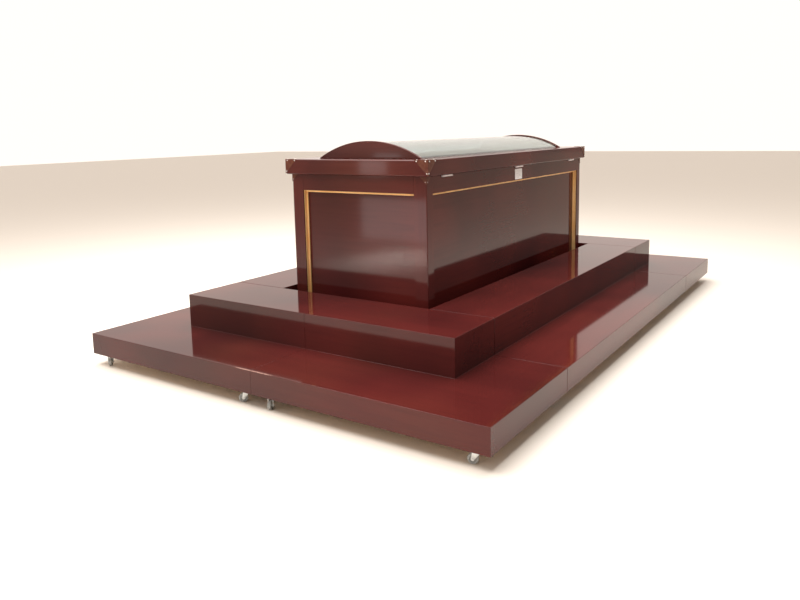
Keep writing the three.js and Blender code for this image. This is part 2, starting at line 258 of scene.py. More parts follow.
def add_floor():
    """A plain pale square on z = 0."""
    half = FLOOR_SIZE / 2
    corners = [(-half, -half, 0), (half, -half, 0), (half, half, 0), (-half, half, 0)]
    mesh = bpy.data.meshes.new("floor")
    mesh.from_pydata(corners, [], [(0, 1, 2, 3)])
    floor = bpy.data.objects.new("floor", mesh)
    bpy.context.scene.collection.objects.link(floor)
    mesh.materials.append(new_finish("pale_floor", Base_Color=FLOOR_COLOUR, Roughness=0.6).owner)


def add_surround():
    """A slightly warm world, whose strength falls as a direction's x grows over the shaded side."""
    world = bpy.data.worlds.new("surround")
    surround = Finish(world, "Background")
    direction = surround.node("ShaderNodeTexCoord", {}, {}, "Generated")
    sideways = surround.node("ShaderNodeSeparateXYZ", {}, {0: direction}, "X")
    shade = sideways.fade(*SHADED_SIDE) * SHADE
    surround.set(Color=SURROUND_COLOUR, Strength=SURROUND_STRENGTH * (1.0 - shade))
    bpy.context.scene.world = world


add_floor()
add_surround()
print("surround: strength", SURROUND_STRENGTH, "falling to", round(SURROUND_STRENGTH * (1 - SHADE), 3))

# %% [markdown]
# One wide soft light hangs low overhead. Two small panels stand in front, a low one for the slow
# glow on the front wall and a higher one for the glow on the lid's skirt. A narrow beam makes a
# bright pool on the floor, which the front mirrors too.

# %% Lights
WIDE_BEAM, NARROW_BEAM = 180.0, 45.0
SOFT_LIGHTS = (  # name, place, target, width and depth in metres, power in watts, beam in degrees
    ("overhead", (-0.5, -0.8, 4.0), (-0.5, -0.8, 0.0), (5.0, 6.5), 435, WIDE_BEAM),
    ("front_panel", (-2.0, -4.4, 0.25), (-2.0, -1.0, 0.25), (1.1, 0.46), 3.2, WIDE_BEAM),
    ("skirt_panel", (-2.3, -4.4, 0.84), (-2.3, -1.0, 0.84), (0.36, 0.22), 0.6, WIDE_BEAM),
    ("floor_pool", (-1.5, -3.6, 1.4), (-1.5, -3.6, 0.0), (0.5, 0.9), 13, NARROW_BEAM),
)


def add_soft_light(name, place, target, size, watts, beam):
    """A rectangular light at place, turned to face target. A narrow beam is a grid over the light."""
    data = bpy.data.lights.new(name, "AREA")
    data.shape = "RECTANGLE"
    data.size, data.size_y = size
    data.energy = watts
    data.spread = math.radians(beam)
    lamp = bpy.data.objects.new(name, data)
    lamp.location = place
    lamp.rotation_euler = (Vector(target) - Vector(place)).to_track_quat("-Z", "Y").to_euler()
    bpy.context.scene.collection.objects.link(lamp)


for light in SOFT_LIGHTS:
    add_soft_light(*light)
bpy.context.scene.view_settings.view_transform = "Standard"

# %% [markdown]
# The two arched boards are segments of a circle, and the clear sheet is bent to the same circle, a
# little inside it. The circle follows from the board's width and height, which the frame gives. It
# is worked out first, because a finish asks whether a point lies under the sheet.

# %% The arch's circle
arch_low, arch_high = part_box("arch_front")
sheet_low, sheet_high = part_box("lid_sheet")
HALF_CHORD = arch_high[0]
ARCH_RISE = arch_high[2] - arch_low[2]
ARCH_RADIUS = (HALF_CHORD ** 2 + ARCH_RISE ** 2) / (2 * ARCH_RISE)
ARCH_CENTRE = arch_high[2] - ARCH_RADIUS
SHEET_THICKNESS = 4 * MM
SHEET_RADIUS = ARCH_RADIUS - (arch_high[2] - sheet_high[2])
print("arch: radius", round(ARCH_RADIUS / MM, 1), "mm")

# %% [markdown]
# The lacquer is a deep red-brown stain over board, under a hard gloss coat. Its colour drifts
# slowly across each board, with faint darker streaks along the grain. The streaks come from noise
# that is stretched along the board, so there is one material for each way a board can run.

# %% Red lacquer
LACQUER_DEEP = (0.042, 0.0065, 0.0068)
LACQUER_RED = (0.104, 0.0150, 0.0125)
LACQUER_WARM = (0.092, 0.0280, 0.0140)
PORE_COLOUR = (0.018, 0.0030, 0.0030)
LINING_COLOUR = (0.58, 0.53, 0.45)
GRAIN = {"x": (0.05, 1, 1), "y": (1, 0.05, 1), "z": (1, 1, 0.05)}


def red_lacquer(name, grain, patch=None, patch_colour=LINING_COLOUR):
    """Stain, drift of colour, streaks and pores under a gloss coat, and a patch of another colour."""
    finish = new_finish(name, Coat_Weight=0.81, Coat_Roughness=0.075, Coat_IOR=1.42,
                        Specular_IOR_Level=0.0)
    drift = finish.noise(1.3, detail=2.0)
    warmth = finish.noise(0.9, detail=2.0, shift=(4.0, 1.0, 7.0))
    streaks = finish.noise(38.0, GRAIN[grain], detail=6.0, roughness=0.6)
    pores = finish.noise(160.0, GRAIN[grain], detail=4.0, roughness=0.7)
    colour = finish.mix(drift.fade(0.35, 0.7), LACQUER_DEEP, LACQUER_RED)
    colour = finish.mix(warmth.fade(0.45, 0.8) * 0.55, colour, LACQUER_WARM)
    colour = finish.mix(streaks.fade(0.45, 0.75) * 0.35, colour, LACQUER_DEEP)
    colour = finish.mix(pores.fade(0.55, 0.8) * 0.2, colour, PORE_COLOUR)
    if patch:
        colour = finish.mix(patch(finish), colour, patch_colour)
    finish.set(Base_Color=colour, Roughness=0.35 + pores * 0.1)
    finish.bump(finish.noise(2.2, detail=1.0) + streaks * 0.01, 1.0 * MM)
    return finish.owner


lacquer = {grain: red_lacquer("red_lacquer_" + grain, grain) for grain in "xy"}
print("lacquer:", len(lacquer), "plain materials")

# %% [markdown]
# The inside of the box is pale, and so is the inside of the lid. A board there shows both, so its
# colour asks where a point lies. The same is done for one pale streak, painted along part of the
# front edge of the dais.

# %% Lined and streaked lacquer
SKIN = 0.5 * MM
LOWER_STEP_TOP = 172 * MM
EDGE_STREAK_COLOUR = (0.42, 0.24, 0.19)
EDGE_STREAK_SPAN = (-110 * MM, 140 * MM)
EDGE_STREAK_DEPTH = 6 * MM


def lined_inside_box(finish):
    """1 inside the four walls of the box, and 0 elsewhere."""
    reach_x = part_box("panel_right")[0][0] + SKIN
    reach_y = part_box("panel_back")[0][1] + SKIN
    return (abs(finish.axis("x")) < reach_x) * (abs(finish.axis("y")) < reach_y)


def lined_under_sheet(finish):
    """1 under the bent sheet, between the two arched boards, and under the deck, and 0 elsewhere."""
    x, up = finish.axis("x"), finish.axis("z") - ARCH_CENTRE
    under_sheet = x * x + up * up < (SHEET_RADIUS - SHEET_THICKNESS) ** 2
    between = (abs(x) < sheet_high[0] - SKIN) * (abs(finish.axis("y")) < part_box("arch_back")[0][1] + SKIN)
    under_deck = finish.axis("z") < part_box("lid_deck")[0][2] + SKIN
    return under_deck.math("MAXIMUM", under_deck, between * under_sheet)


def pale_front_edge_streak(finish):
    """Up to 1 along a hand's breadth or two of the lower step's front edge, broken up by noise. It
    reaches further in where the second noise is high."""
    middle, half = sum(EDGE_STREAK_SPAN) / 2, (EDGE_STREAK_SPAN[1] - EDGE_STREAK_SPAN[0]) / 2
    ragged = finish.noise(9.0, detail=3.0)
    inward = finish.axis("y") - cad_box[0][1]
    along = 1.0 - abs(finish.axis("x") - middle).fade(0.6 * half, half)
    near = 1.0 - inward.fade(0.2 * EDGE_STREAK_DEPTH, EDGE_STREAK_DEPTH + ragged * EDGE_STREAK_DEPTH)
    high = finish.axis("z").fade(LOWER_STEP_TOP - 2 * MM, LOWER_STEP_TOP - 0.2 * MM)
    return along * near * high * finish.noise(70.0, (1, 3, 1), detail=3.0).fade(0.32, 0.5)


# A pale streak is painted along part of the lower step's front edge.
scuffed_lacquer = red_lacquer("scuffed_lacquer", "x", pale_front_edge_streak, EDGE_STREAK_COLOUR)
lined_lacquer = {grain: red_lacquer("lined_lacquer_" + grain, grain, lined_inside_box) for grain in "xyz"}
lid_lacquer = {grain: red_lacquer("lid_lacquer_" + grain, grain, lined_under_sheet) for grain in "xy"}
print("lacquer:", 1 + len(lined_lacquer) + len(lid_lacquer), "lined or scuffed materials")

# %% [markdown]
# The other finishes are small in the picture, but each has its own character. The gold paint is
# satin and a little uneven. The corner plates are bronzed sheet under a clear varnish, rubbed
# brighter in places, held by bright nails. The nails on the box are made darker, which is painted
# shade for the shadow under the lid's overhang. The hinges and the castors are plated steel,
# clouded by a slow noise and brushed by a fine one.

# %% Gold and metals


def gold_paint():
    finish = new_finish("gold_paint", Metallic=0.35, Coat_Weight=0.3, Coat_Roughness=0.2)
    cloud = finish.noise(9.0, detail=3.0)
    speck = finish.noise(700.0, detail=2.0)
    colour = finish.mix(cloud.fade(0.35, 0.7), (0.88, 0.52, 0.19), (0.95, 0.62, 0.28))
    colour = finish.mix(speck.fade(0.6, 0.75) * 0.35, colour, (0.45, 0.22, 0.06))
    finish.set(Base_Color=colour, Roughness=0.32 + cloud * 0.15)
    finish.bump(speck, 0.1 * MM)
    return finish.owner


def bronzed_plate():
    finish = new_finish("bronzed_plate", Metallic=0.05, Coat_Weight=0.7, Coat_Roughness=0.12,
                        Coat_IOR=1.42, Specular_IOR_Level=0.0)
    cloud = finish.noise(45.0, detail=4.0, roughness=0.65)
    rub = finish.noise(230.0, detail=3.0)
    colour = finish.mix(cloud.fade(0.3, 0.7), (0.085, 0.020, 0.014), (0.130, 0.044, 0.024))
    colour = finish.mix(rub.fade(0.6, 0.8) * 0.5, colour, (0.24, 0.12, 0.07))
    finish.set(Base_Color=colour, Roughness=0.28 + cloud * 0.3)
    finish.bump(rub, 0.08 * MM)
    return finish.owner


def plated_steel(name, colour, roughness, dull, metallic):
    finish = new_finish(name, Metallic=metallic)
    cloud = finish.noise(60.0, detail=4.0, roughness=0.6)
    brushed = finish.noise(900.0, (1, 0.06, 1), detail=2.0)
    finish.set(Base_Color=finish.mix(cloud.fade(0.4, 0.8) * 0.5, colour, dull),
               Roughness=roughness + brushed * 0.12)
    finish.bump(brushed, 0.03 * MM)
    return finish.owner


gold = gold_paint()
bronze = bronzed_plate()
nail_steel = plated_steel("nail_steel", (0.95, 0.90, 0.86), 0.25, (0.80, 0.72, 0.66), 0.3)
# The box's nails: the nail steel made darker, painted shade for the shadow under the lid's overhang.
dull_nail = plated_steel("dull_nail", (0.40, 0.28, 0.26), 0.35, (0.25, 0.17, 0.16), 0.4)
hinge_steel = plated_steel("hinge_steel", (0.95, 0.89, 0.90), 0.25, (0.72, 0.66, 0.67), 0.5)
zinc = plated_steel("zinc", (0.74, 0.76, 0.76), 0.3, (0.55, 0.58, 0.58), 0.8)
print("metals:", [metal.name for metal in (gold, bronze, nail_steel, dull_nail, hinge_steel, zinc)])

# %% [markdown]
# Bare board has the same streaks as the lacquer's stain, only paler, and a plywood edge shows its
# plies as bands. The clear sheet is a smooth solid that lets light through, faintly tinted blue-green.

# %% Boards, plastic and clear sheet
PLY = 1.8 * MM


def pale_board():
    finish = new_finish("pale_board", Coat_Weight=0.25, Coat_Roughness=0.25)
    streaks = finish.noise(30.0, GRAIN["y"], detail=5.0, roughness=0.6)
    fine = finish.noise(220.0, GRAIN["y"], detail=3.0)
    colour = finish.mix(streaks.fade(0.35, 0.7), (0.66, 0.58, 0.45), (0.78, 0.71, 0.58))
    colour = finish.mix(fine.fade(0.55, 0.8) * 0.3, colour, (0.45, 0.34, 0.22))
    finish.set(Base_Color=colour, Roughness=0.5 + fine * 0.15)
    finish.bump(fine, 0.15 * MM)
    return finish.owner


def plywood():
    """Birch-like faces, with the plies showing as bands on the edges."""
    finish = new_finish("plywood")
    streaks = finish.noise(24.0, GRAIN["x"], detail=5.0, roughness=0.6)
    plies = (finish.axis("z") % (2 * PLY)) > PLY
    colour = finish.mix(streaks.fade(0.35, 0.7), (0.40, 0.27, 0.15), (0.55, 0.40, 0.24))
    colour = finish.mix(plies * 0.35, colour, (0.26, 0.15, 0.08))
    finish.set(Base_Color=colour, Roughness=0.6 + streaks * 0.2)
    finish.bump(streaks, 0.3 * MM)
    return finish.owner


def grey_plastic():
    finish = new_finish("grey_plastic")
    cloud = finish.noise(80.0, detail=3.0)
    finish.set(Base_Color=finish.mix(cloud.fade(0.35, 0.7), (0.30, 0.31, 0.30), (0.42, 0.42, 0.41)),
               Roughness=0.42 + cloud * 0.2)
    finish.bump(cloud, 0.1 * MM)
    return finish.owner


def clear_sheet():
    finish = new_finish("clear_sheet", Base_Color=(0.62, 0.71, 0.715), Roughness=0.03, IOR=1.49,
                        Transmission_Weight=1.0)
    return finish.owner


board = pale_board()
ply = plywood()
plastic = grey_plastic()
clear = clear_sheet()
print("finishes:", len(bpy.data.materials), "materials in all")

# %% [markdown]
# Every new piece below is a surface worked out as an array of points on a grid, with one row for
# each value of one parameter and one column for each value of the other. A shell gathers such
# grids and becomes one mesh. It turns a grid's faces outwards by the sign of the volume they hold.

# %% Shells
WELD = 0.001 * MM


class Shell:
    """Closed surfaces gathered into one mesh, each with its finish."""

    def __init__(self):
        self.points = np.zeros((0, 3))
        self.faces = []
        self.finishes = []

    def grid(self, points, finish=0, ring=False):
        """Quads between neighbours on a grid of points whose columns run round a loop. With ring,
        the rows close on themselves too. Otherwise the first and last row are each closed flat."""
        rows, columns = points.shape[:2]
        index = np.arange(rows * columns).reshape(rows, columns)
        after = np.roll(index, -1, axis=1)
        if ring:
            above, above_after = np.roll(index, -1, axis=0), np.roll(after, -1, axis=0)
            quads = np.stack([index, after, above_after, above], axis=-1).reshape(-1, 4)
            caps = []
        else:
            quads = np.stack([index[:-1], after[:-1], after[1:], index[1:]], axis=-1).reshape(-1, 4)
            caps = [index[0, ::-1].tolist(), index[-1].tolist()]
        flat = points.reshape(-1, 3)
        faces = quads.tolist() + caps
        if self.volume(flat, quads, caps) < 0:
            faces = [face[::-1] for face in faces]
        start = len(self.points)
        self.points = np.concatenate([self.points, flat])
        self.faces += [[start + i for i in face] for face in faces]
        self.finishes += [finish] * len(faces)
        return self

    @staticmethod
    def volume(points, quads, caps):
        """A sixth of the sum, over the triangles, of one corner dotted with the cross of the others."""
        fans = [quads[:, [0, 1, 2]], quads[:, [0, 2, 3]]]
        for cap in caps:
            cap = np.array(cap)
            fans.append(np.stack([np.full(len(cap) - 2, cap[0]), cap[1:-1], cap[2:]], axis=-1))
        a, b, c = (points[np.concatenate(fans)[:, k]] for k in range(3))
        return np.einsum("ij,ij->", a, np.cross(b, c)) / 6

    def mesh(self, name):
        mesh = bpy.data.meshes.new(name)
        mesh.from_pydata(self.points.tolist(), [], self.faces)
        mesh.polygons.foreach_set("material_index", self.finishes)
        work = bmesh.new()
        work.from_mesh(mesh)
        bmesh.ops.remove_doubles(work, verts=work.verts, dist=WELD)
        work.to_mesh(mesh)
        work.free()
        return mesh


print("shells: points closer than", WELD / MM, "mm are joined")

# %% [markdown]
# A piece shades smoothly, apart from edges sharper than a limit. Large flat faces next to narrow
# rounded edges would shade unevenly if normals were averaged, so most pieces weigh their normals by
# the area of the faces. Each piece then joins a body, takes the place of its plain solid and gets a
# slot, which is the name of its finish.

# %% Finished pieces
BASE = "box_and_dais"
LID = "lid"
SHARP_ANGLE = math.radians(50)
FLAT_ANGLE = math.radians(0.5)
SOLID_WELD = 0.01 * MM
BEVEL_ANGLE = math.radians(30)
BEVEL_SEGMENTS = 3


def finish_piece(name, mesh, materials, body, nodes, weighted=True):
    """Shades a mesh, gives it its materials, and puts it in the frame in place of CAD nodes."""
    mesh.shade_smooth()
    mesh.set_sharp_from_angle(angle=SHARP_ANGLE)
    for material in materials:
        mesh.materials.append(material)
    piece = bpy.data.objects.new(name, mesh)
    bpy.context.scene.collection.objects.link(piece)
    if weighted:
        modifier = piece.modifiers.new("even faces", "WEIGHTED_NORMAL")
        modifier.keep_sharp = True
        modifier.weight = 100
    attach(piece, body)
    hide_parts(*nodes)
    return piece


def soft_copy(node):
    """A CAD node's shape with its flat faces made whole, for a Bevel that rounds every edge."""
    work = bmesh.new()
    work.from_mesh(frame["nodes"][node].data)
    bmesh.ops.remove_doubles(work, verts=work.verts, dist=SOLID_WELD)
    bmesh.ops.dissolve_limit(work, angle_limit=FLAT_ANGLE, verts=work.verts, edges=work.edges)
    mesh = bpy.data.meshes.new(node + "_soft")
    work.to_mesh(mesh)
    work.free()
    return mesh


def add_bevel(piece, width):
    """Rounds every edge, before the normals are weighed."""
    modifier = piece.modifiers.new("soft edges", "BEVEL")
    modifier.width = width
    modifier.segments = BEVEL_SEGMENTS
    modifier.limit_method = "ANGLE"
    modifier.angle_limit = BEVEL_ANGLE
    piece.modifiers.move(len(piece.modifiers) - 1, 0)


print("edges sharper than", round(math.degrees(SHARP_ANGLE)), "degrees stay sharp")

# %% [markdown]
# A board is a box with rounded edges. A plain box with a Bevel would do, but a formula gives the
# same shape at once: cut a small ball into eight, and pull the eighths apart to the box's corners.

# %% Boards
EDGE_STEPS = 3
BUTTED_EDGE = 0.4 * MM
SKIRT_EDGE = 6 * MM


def rounded_board(low, high, radius):
    """A point at a longitude and a latitude of a ball of that radius is moved out to the corner of
    the box that it faces. Longitudes and latitudes where the corner changes come twice."""
    low, high = np.array(low), np.array(high)
    quarter = np.linspace(0, math.pi / 2, EDGE_STEPS + 1)
    longitude = np.concatenate([quarter + k * math.pi / 2 for k in range(4)])
    latitude = np.concatenate([quarter - math.pi / 2, quarter])[:, None]
    side_x = np.repeat([1, -1, -1, 1], EDGE_STEPS + 1)
    side_y = np.repeat([1, 1, -1, -1], EDGE_STEPS + 1)
    side_z = np.repeat([-1, 1], EDGE_STEPS + 1)[:, None]
    middle, reach = (low + high) / 2, (high - low) / 2 - radius
    x = middle[0] + side_x * reach[0] + radius * np.cos(latitude) * np.cos(longitude)
    y = middle[1] + side_y * reach[1] + radius * np.cos(latitude) * np.sin(longitude)
    z = middle[2] + side_z * reach[2] + radius * np.sin(latitude) + 0 * longitude
    return np.stack([x, y, z], axis=-1)


def add_board(node, material, body, radius=BUTTED_EDGE):
    shell = Shell().grid(rounded_board(*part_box(node), radius))
    return finish_piece(node + "_board", shell.mesh(node), [material], body, [node])


WALL_GRAIN = {"front": "x", "right": "y", "back": "x", "left": "y"}
CORNERS = [f"{end}_{side}" for end in ("front", "back") for side in ("left", "right")]
for wall, grain in WALL_GRAIN.items():
    for part in ("top_rail", "bottom_rail", "panel"):
        add_board(f"{part}_{wall}", lined_lacquer[grain], BASE)
    add_board(f"lid_skirt_{wall}", lacquer[grain], LID, radius=SKIRT_EDGE)
for side in ("left", "right"):
    add_board(f"bed_bearer_{side}", board, BASE)

# %% [markdown]
# The dais units, the bed board and the deck aren't boxes: they have steps, notches or a window.
# Their solids are right already, so a copy keeps the shape and a Bevel rounds its edges.

# %% Dais, bed and deck
UNITS = ["front_left", "front_right", "back_left", "back_right", "side_left", "side_right"]
UNIT_EDGE = 1.2 * MM
DECK_EDGE = 1.5 * MM
for unit in UNITS:
    node = "dais_" + unit
    material = scuffed_lacquer if "front" in unit else lacquer["y" if "side" in unit else "x"]
    piece = finish_piece(node + "_carcass", soft_copy(node), [material], BASE, [node])
    add_bevel(piece, UNIT_EDGE)
for node, material, body, slot in (
    ("bed_board", board, BASE, "pale_board"),
    ("lid_deck", lid_lacquer["y"], LID, "red_lacquer"),
):
    piece = finish_piece(node + "_soft", soft_copy(node), [material], body, [node])
    add_bevel(piece, DECK_EDGE)
print("carcasses:", len(UNITS))

# %% [markdown]
# A flat plate cut from sheet is an outline with a thickness. Its edge is rounded by pulling the
# outline in while it goes through the thickness. An outline is pulled in along the bisector of its
# two edges at each corner, by more where the corner is sharp.

# %% Plates
ROUND_STEPS = 5


def inset_outline(outline, depth):
    """Each corner moves in by depth along (n1 + n2) / (1 + n1.n2), of its two edges' normals."""
    edge = np.roll(outline, -1, axis=0) - outline
    normal = np.stack([-edge[:, 1], edge[:, 0]], axis=-1) / np.linalg.norm(edge, axis=1)[:, None]
    before = np.roll(normal, 1, axis=0)
    share = 1 + np.einsum("ij,ij->i", before, normal)
    return outline + depth * (before + normal) / share[:, None]


def plate(outline, thickness, radius, steps=2):
    """Rings of the outline, counterclockwise in x and y, from z = 0 to the thickness. A ring near a
    face is pulled in by the radius less the radius times the sine of its angle round the edge."""
    angle = np.linspace(0, math.pi / 2, steps + 1)
    pulled = radius * (1 - np.sin(angle))
    height = radius * (1 - np.cos(angle))
    levels = list(zip(pulled, height)) + list(zip(pulled[::-1], thickness - height[::-1]))
    rings = [np.column_stack([inset_outline(outline, d), np.full(len(outline), z)]) for d, z in levels]
    return np.stack(rings)


def rounded_outline(low, high, radius):
    """A rectangle whose corners are quarter circles. The radius is one number, or one for each of
    the corners from the high one counterclockwise."""
    angle = np.linspace(0, math.pi / 2, ROUND_STEPS + 1)
    turn = np.concatenate([angle + k * math.pi / 2 for k in range(4)])
    side = np.repeat([[1, 1], [-1, 1], [-1, -1], [1, -1]], ROUND_STEPS + 1, axis=0)
    radius = np.repeat(np.broadcast_to(radius, 4), ROUND_STEPS + 1)[:, None]
    middle = (np.array(low) + np.array(high)) / 2
    reach = (np.array(high) - np.array(low)) / 2 - radius
    return middle + side * reach + radius * np.stack([np.cos(turn), np.sin(turn)], axis=-1)


def placed(points, across, along, foot):
    """Turns points' x, y and z into steps along across, along and their cross product, from foot."""
    across, along = np.array(across, float), np.array(along, float)
    basis = np.stack([across, along, np.cross(across, along)])
    return points @ basis + np.array(foot)


print("a rectangle with rounded corners:", len(rounded_outline((0, 0), (1, 1), 0.1)), "points")

# %% [markdown]
# The corner posts run from the floor to the lid. Only a post's outer arris is rounded, because its
# other edges meet the rails.

# %% Posts
POST_ARRIS = 4 * MM
POST_END_EDGE = 0.3 * MM
COUNTERCLOCKWISE = ("back_right", "back_left", "front_left", "front_right")
for corner in CORNERS:
    low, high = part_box("post_" + corner)
    radii = [POST_ARRIS if corner == name else BUTTED_EDGE for name in COUNTERCLOCKWISE]
    grid = plate(rounded_outline(low[:2], high[:2], radii), high[2] - low[2], POST_END_EDGE)
    grid += [0, 0, low[2]]
    finish_piece(f"post_{corner}_board", Shell().grid(grid).mesh("post"), [lined_lacquer["z"]], BASE,
                 ["post_" + corner])
print("posts:", len(CORNERS))

# %% [markdown]
# The gold moulding lines each panel on three sides, as an upside-down U. Its section is a bead that
# lies on the panel, and a thin web that covers the frame's edge. Swept along the U, the section
# turns each corner in the mitre plane, which is where the two insets of its path meet.

# %% Gold mouldings
MOULDING_WIDTH = 11 * MM
MOULDING_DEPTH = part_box("gold_moulding_front")[1][1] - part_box("gold_moulding_front")[0][1]
BEAD_RADIUS = 3.9 * MM
BEAD_HEIGHT = 0.17 * MOULDING_DEPTH
QUIRK_HEIGHT = 0.3 * MOULDING_DEPTH
FOOT_INSET = 0.4 * MM
WEB = 2.4 * MM
WALL_TURNS = (("front", 0), ("right", 1), ("back", 2), ("left", 3))


def moulding_section():
    """(inward, outward) pairs: a half-round bead on the panel, a quirk, and a thin web with a round
    nose that runs out along the frame's edge."""
    turn = np.linspace(-0.15, 0.9, 12) * math.pi
    bead = np.column_stack([MOULDING_WIDTH - BEAD_RADIUS + BEAD_RADIUS * np.cos(turn),
                            BEAD_HEIGHT + BEAD_RADIUS * np.sin(turn)])
    turn = np.linspace(0, math.pi / 2, 5)
    nose = np.column_stack([WEB / 2 + WEB / 2 * np.cos(turn),
                            MOULDING_DEPTH - WEB / 2 + WEB / 2 * np.sin(turn)])
    foot = [[0, 0], [MOULDING_WIDTH - FOOT_INSET, 0]]
    return np.concatenate([foot, bead, [[WEB, QUIRK_HEIGHT]], nose, [[0, MOULDING_DEPTH]]])


def turned_about_z(turn):
    """The matrix that turns points about the Z axis."""
    return np.array([[math.cos(turn), -math.sin(turn), 0], [math.sin(turn), math.cos(turn), 0], [0, 0, 1]])


def moulding_grid(half_span, face, bottom, top, turn):
    """Four rings of the section: foot, mitre, mitre and foot. A ring's x is the half span less the
    inward distance, on its side, and a mitre's z is the top less the inward distance."""
    section = moulding_section()
    side = np.array([-1, -1, 1, 1])[:, None]
    mitred = np.array([0, 1, 1, 0])[:, None]
    x = side * (half_span - section[:, 0])
    z = bottom + mitred * (top - section[:, 0] - bottom)
    y = np.broadcast_to(face - section[:, 1], x.shape)
    return np.stack([x, y, z], axis=-1) @ turned_about_z(turn).T


# Each wall's moulding is made as the front wall's, on the panel's plane, and turned into its place
for wall, quarters in WALL_TURNS:
    node = "gold_moulding_" + wall
    low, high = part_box(node)
    across, out = quarters % 2, 1 - quarters % 2
    face = MOULDING_DEPTH - max(abs(low[out]), abs(high[out]))
    grid = moulding_grid(high[across], face, low[2], high[2], quarters * math.pi / 2)
    finish_piece(node + "_sweep", Shell().grid(grid).mesh(node), [gold], BASE, [node],
                 weighted=False)
print("moulding:", round(MOULDING_DEPTH / MM, 1), "mm deep")

# %% [markdown]
# The arched boards are cut from the same board as the lid, and their ends carry the sheet. The sheet
# is bent cold over them, so its section is the same ring of two arcs all along.

# %% Arched boards and clear sheet
ARCH_STEPS = 64
ARCH_EDGE = 2.5 * MM
SHEET_STATIONS = 9


def arc_points(radius, base):
    """Points of the circle above the height base, from +x to -x."""
    start = math.asin((base - ARCH_CENTRE) / radius)
    angle = np.linspace(start, math.pi - start, ARCH_STEPS + 1)
    return np.column_stack([radius * np.cos(angle), ARCH_CENTRE + radius * np.sin(angle)])


for end in ("front", "back"):
    node = "arch_" + end
    low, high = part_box(node)
    grid = plate(arc_points(ARCH_RADIUS, low[2]), high[1] - low[1], ARCH_EDGE, EDGE_STEPS)
    grid = placed(grid, (1, 0, 0), (0, 0, 1), (0, high[1], 0))
    finish_piece(node + "_board", Shell().grid(grid).mesh(node), [lid_lacquer["x"]], LID, [node])


def sheet_grid():
    """The outer arc and then the inner one backwards, as a ring, at stations along Y."""
    ring = np.concatenate([
        arc_points(SHEET_RADIUS, sheet_low[2]),
        arc_points(SHEET_RADIUS - SHEET_THICKNESS, sheet_low[2])[::-1],
    ])
    stations = np.linspace(sheet_low[1], sheet_high[1], SHEET_STATIONS)[:, None]
    x = np.broadcast_to(ring[:, 0], (len(stations), len(ring)))
    z = np.broadcast_to(ring[:, 1], x.shape)
    return np.stack([x, np.broadcast_to(stations, x.shape), z], axis=-1)


finish_piece("lid_sheet_bent", Shell().grid(sheet_grid()).mesh("lid_sheet"), [clear], LID, ["lid_sheet"],
             weighted=False)
print("sheet: radius", round(SHEET_RADIUS / MM, 1), "mm")

# %% [markdown]
# Every round thing here, from a nail's head to a wheel, is a profile turned about an axis. The
# profile is a row of pairs: how far along the axis, and how far out.

# %% Turned shapes
DOME_ANGLE = math.radians(80)


def turned(profile, foot, axis, sides=24):
    """A profile of (distance along the axis, radius) pairs, carried round the axis."""
    axis = np.array(axis, float) / np.linalg.norm(axis)
    first = np.cross(axis, [0, 0, 1] if abs(axis[2]) < 0.9 else [1, 0, 0])
    first /= np.linalg.norm(first)
    second = np.cross(axis, first)
    profile = np.array(profile, float)
    angle = np.linspace(0, 2 * math.pi, sides, endpoint=False)
    spoke = np.cos(angle)[:, None] * first + np.sin(angle)[:, None] * second
    return np.array(foot) + profile[:, 0][:, None, None] * axis + profile[:, 1][:, None, None] * spoke


def dome(foot, axis, radius, height, sides=12):
    """A shallow round head: the radius falls as the cosine while the height grows as the sine."""
    angle = np.linspace(0, DOME_ANGLE, 5)
    return turned(np.column_stack([height * np.sin(angle), radius * np.cos(angle)]), foot, axis, sides)


print("a dome:", dome((0, 0, 0), (0, 0, 1), 1, 1).shape[:2], "rows and columns of points")

# %% [markdown]
# Corner plates protect the lid's corners and the box's. Each is thin sheet bent round the corner
# and held by small round-headed nails, three to a face. The plate keeps the shape of its solid.

# %% Corner plates and nails
PLATE_STAND = 1.5 * MM
NAIL_RADIUS = 3.2 * MM
NAIL_HEIGHT = 1.3 * MM
NAIL_INSET = 13 * MM
NAIL_TO_FOLD = 6 * MM


def corner_nails(corner, sides, leg, surface):
    """Three nails in each leg's triangle: near the corner and near the two other points."""
    near, far, fold = NAIL_INSET, leg - NAIL_INSET, NAIL_TO_FOLD
    nails = []
    for out, a, b in sides:
        for step_a, step_b in ((near, fold), (far, fold), (fold, far)):
            foot = corner + surface * out - step_a * a - step_b * b
            nails.append(dome(foot, out, NAIL_RADIUS, NAIL_HEIGHT))
    return nails


def add_corner(node, body, nail_finish, with_top):
    """The plate is a copy of its solid, which stands a little off the corner, with its nails."""
    low, high = (np.array(v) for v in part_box(node))
    sign = np.sign(low + high) * [1, 1, 0] + [0, 0, 1]
    outer = np.where(sign > 0, high, low)
    leg = (high - low).max() - PLATE_STAND
    corner = outer - PLATE_STAND * sign
    if not with_top:
        corner[2] = high[2]
    x, y, z = (axis * s for axis, s in zip(np.eye(3), sign))
    sides = [(x, y, z), (y, x, z)] + ([(z, x, y)] if with_top else [])
    piece_mesh = soft_copy(node)
    nails = Shell()
    for nail in corner_nails(corner, sides, leg, PLATE_STAND):
        nails.grid(nail, finish=1)
    nail_mesh = nails.mesh(node + "_nails")
    work = bmesh.new()
    work.from_mesh(piece_mesh)
    work.from_mesh(nail_mesh)
    work.to_mesh(piece_mesh)
    work.free()
    finish_piece(node + "_plate", piece_mesh, [bronze, nail_finish], body, [node])


for corner in CORNERS:
    add_corner("lid_corner_" + corner, LID, nail_steel, with_top=True)
    add_corner("box_corner_" + corner, BASE, dull_nail, with_top=False)
print("corner plates:", 2 * len(CORNERS))

# %% [markdown]
# A butt hinge is two leaves whose knuckles take turns round one pin. The leaves stand in the
# narrow gap between the box and the lid's skirt, so only the knuckles show while the lid is shut.

